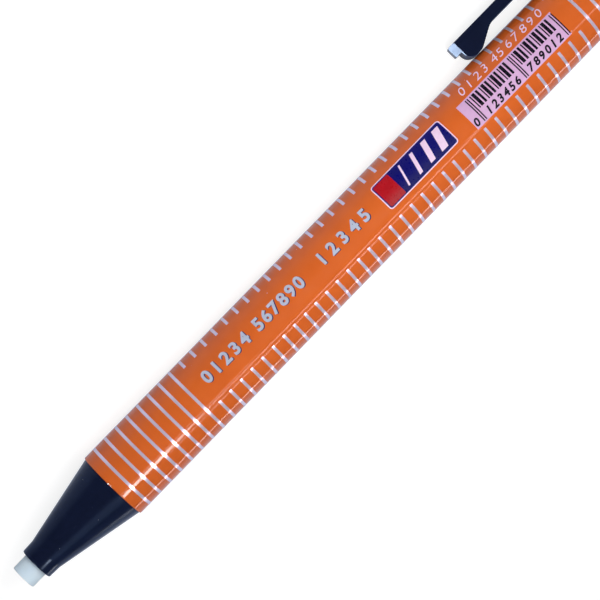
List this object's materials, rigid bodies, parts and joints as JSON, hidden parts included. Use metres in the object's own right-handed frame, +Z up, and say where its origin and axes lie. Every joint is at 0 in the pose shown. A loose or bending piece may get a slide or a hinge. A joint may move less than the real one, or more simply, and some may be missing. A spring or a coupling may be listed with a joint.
{
  "type": "knock eraser pen",
  "caption": "Round stick eraser in a pen barrel with a tapered nose, a spring-returned chuck, a rear knock button and a sprung side clip.",
  "frame": {"origin": "centre of the bounding box's bottom, on the surface that the pen lies on", "axes": "+X along the pen from the eraser's tip to the knock button, +Z up, with the clip on the +Y side, low enough to rest on the surface beside the barrel"},
  "size_m": [0.1462, 0.0144, 0.0109],
  "materials": {
    "orange_plastic": "glossy moulded plastic, printed with silver rings",
    "black_plastic": "glossy blue-black moulded plastic",
    "eraser_vinyl": "matt white vinyl",
    "retainer_rubber": "soft matt rubber",
    "mechanism_plastic": "natural white moulded plastic",
    "ring_brass": "turned",
    "spring_steel": "drawn wire"
  },
  "bodies": {
    "holder": {"barrel": "orange_plastic", "nose_cone": "black_plastic", "eraser_retainer": "retainer_rubber", "mechanism_sleeve": "mechanism_plastic", "return_spring": "spring_steel", "tail_collar": "black_plastic", "clip_band": "black_plastic"},
    "knock_unit": {"knock_button": "black_plastic", "feed_tube": "mechanism_plastic", "feed_coupler": "mechanism_plastic", "chuck": "mechanism_plastic"},
    "clutch": {"clutch_ring": "ring_brass"},
    "eraser": {"eraser_stick": "eraser_vinyl"},
    "clip": {"clip_arm": "black_plastic"}
  },
  "joints": [
    {"name": "knock_slide", "type": "slide", "parent": "holder", "child": "knock_unit", "axis": [-1, 0, 0], "range_m": [0, 0.003], "stiffness_N_per_m": 500, "springref_m": -0.004, "deforming": ["return_spring"]},
    {"name": "ring_slide", "type": "slide", "parent": "holder", "child": "clutch", "axis": [-1, 0, 0], "range_m": [0, 0.0012]},
    {"name": "eraser_feed", "type": "slide", "parent": "clutch", "child": "eraser", "axis": [-1, 0, 0], "range_m": [-0.0025, 0.06]},
    {"name": "clip_flex", "type": "hinge", "parent": "holder", "child": "clip", "pos_m": [0.05915, 0.00555, 0.00223], "axis": [0, -0.4026, -0.9154], "range_deg": [0, 3], "stiffness_Nm_per_rad": 2.6, "springref_deg": -0.57}
  ],
  "couplings": [
    {"joint": "ring_slide", "follows": "knock_slide", "ratio": 0.4}
  ]
}
